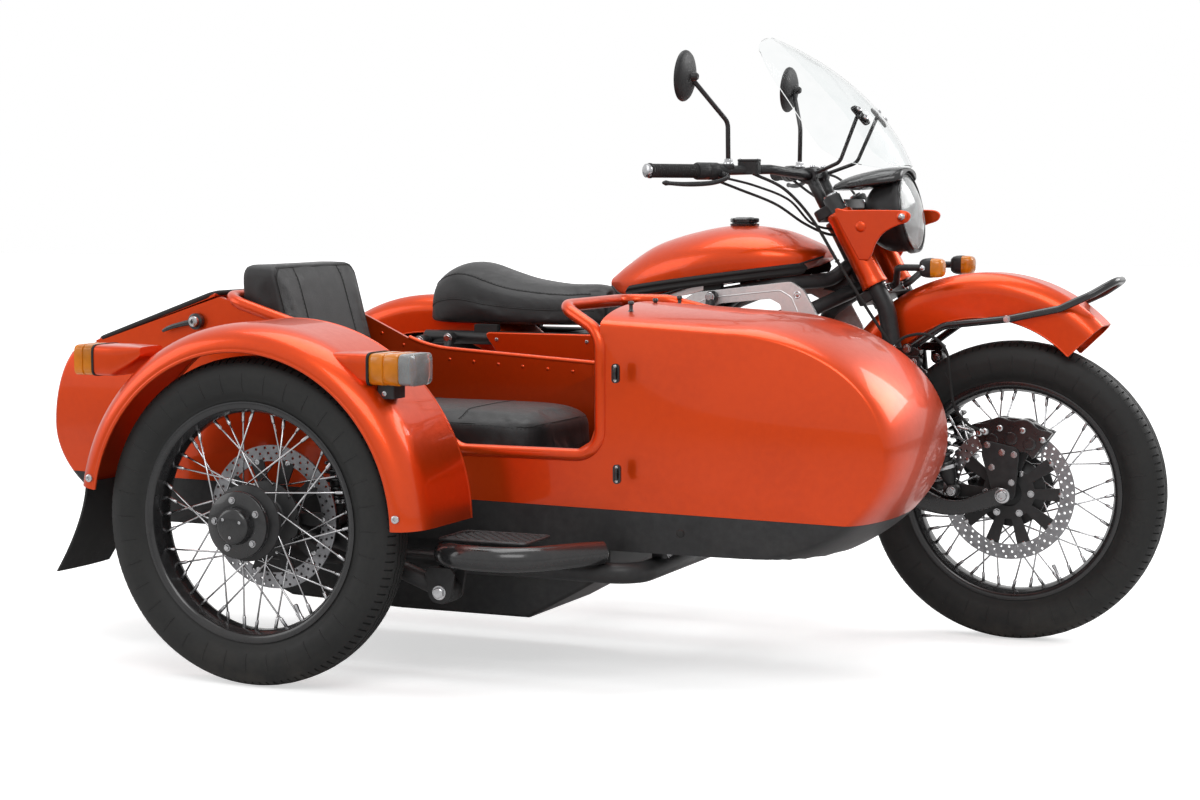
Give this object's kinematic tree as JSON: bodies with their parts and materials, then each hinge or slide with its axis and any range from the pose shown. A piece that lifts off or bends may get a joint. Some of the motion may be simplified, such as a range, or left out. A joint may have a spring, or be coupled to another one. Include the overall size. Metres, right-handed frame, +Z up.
{
  "type": "sidecar motorcycle",
  "caption": "Electric motorcycle with a leading-link fork and a one-seat sidecar on its right, on wire wheels, with turning wheels, steering and a hinged boot lid.",
  "frame": {"origin": "centre of the bounding box at ground level", "axes": "+X forward, +Y to the rider's left, +Z up"},
  "size_m": [2.417, 1.7006, 1.395],
  "materials": {
    "paint": "metallic orange gloss",
    "black": "satin black",
    "rubber": "matt",
    "steel": "bright",
    "cast": "satin silver",
    "leather": "matt black",
    "glass": "clear",
    "amber": "amber lens",
    "red": "red lens"
  },
  "bodies": {
    "chassis": {"battery_case": "black", "battery_frame_left": "cast", "battery_frame_right": "cast", "belly_box": "black", "cockpit_rail": "paint", "main_frame": "black", "marker_front": "paint", "marker_rear": "paint", "motor": "black", "mudflap": "rubber", "passenger_backrest": "leather", "passenger_cushion": "leather", "rear_fender": "paint", "rear_shock_left": "black", "rear_shock_right": "black", "saddle": "leather", "side_cover_left": "paint", "side_cover_right": "paint", "sidecar_body": "paint", "sidecar_fender": "paint", "sidecar_frame": "black", "sidecar_pan": "black", "sidecar_shock": "black", "sidecar_swing_arm": "black", "step_bar": "black", "step_grille": "steel", "strut_front": "black", "strut_rear": "black", "swing_arm": "black", "tail_lamp": "red", "tank": "paint"},
    "steering": {"fork": "black", "headlamp_ear_left": "paint", "headlamp_ear_right": "paint", "headlamp_shell": "black", "headlamp_lens": "glass", "instrument_cowl": "black", "handlebar": "black", "mirror_left": "black", "mirror_right": "black", "windscreen": "glass", "front_fender": "paint", "fender_bar": "black", "leading_link": "black", "front_shock_left": "black", "front_shock_right": "black", "indicator_left": "amber", "indicator_right": "amber", "front_brake_hose": "rubber"},
    "front_wheel": {"front_tyre": "rubber", "front_wheel": "steel"},
    "rear_wheel": {"rear_tyre": "rubber", "rear_wheel": "steel"},
    "sidecar_wheel": {"sidecar_tyre": "rubber", "sidecar_wheel": "steel"},
    "boot_lid": {"boot_lid": "paint"}
  },
  "joints": [
    {"name": "steering", "type": "hinge", "parent": "chassis", "child": "steering", "pos_m": [0.518, 0.401, 0.795], "axis": [-0.4695, 0, 0.8829], "range_deg": [-35, 35]},
    {"name": "front_wheel_spin", "type": "hinge", "parent": "steering", "child": "front_wheel", "pos_m": [0.8635, 0.401, 0.345], "axis": [0, 1, 0], "continuous": true},
    {"name": "rear_wheel_spin", "type": "hinge", "parent": "chassis", "child": "rear_wheel", "pos_m": [-0.6265, 0.401, 0.345], "axis": [0, 1, 0], "continuous": true},
    {"name": "sidecar_wheel_spin", "type": "hinge", "parent": "chassis", "child": "sidecar_wheel", "pos_m": [-0.4635, -0.749, 0.345], "axis": [0, 1, 0], "continuous": true},
    {"name": "boot_lid_hinge", "type": "hinge", "parent": "chassis", "child": "boot_lid", "pos_m": [-0.7415, -0.254, 0.797], "axis": [0, 1, 0], "range_deg": [0, 70]}
  ]
}
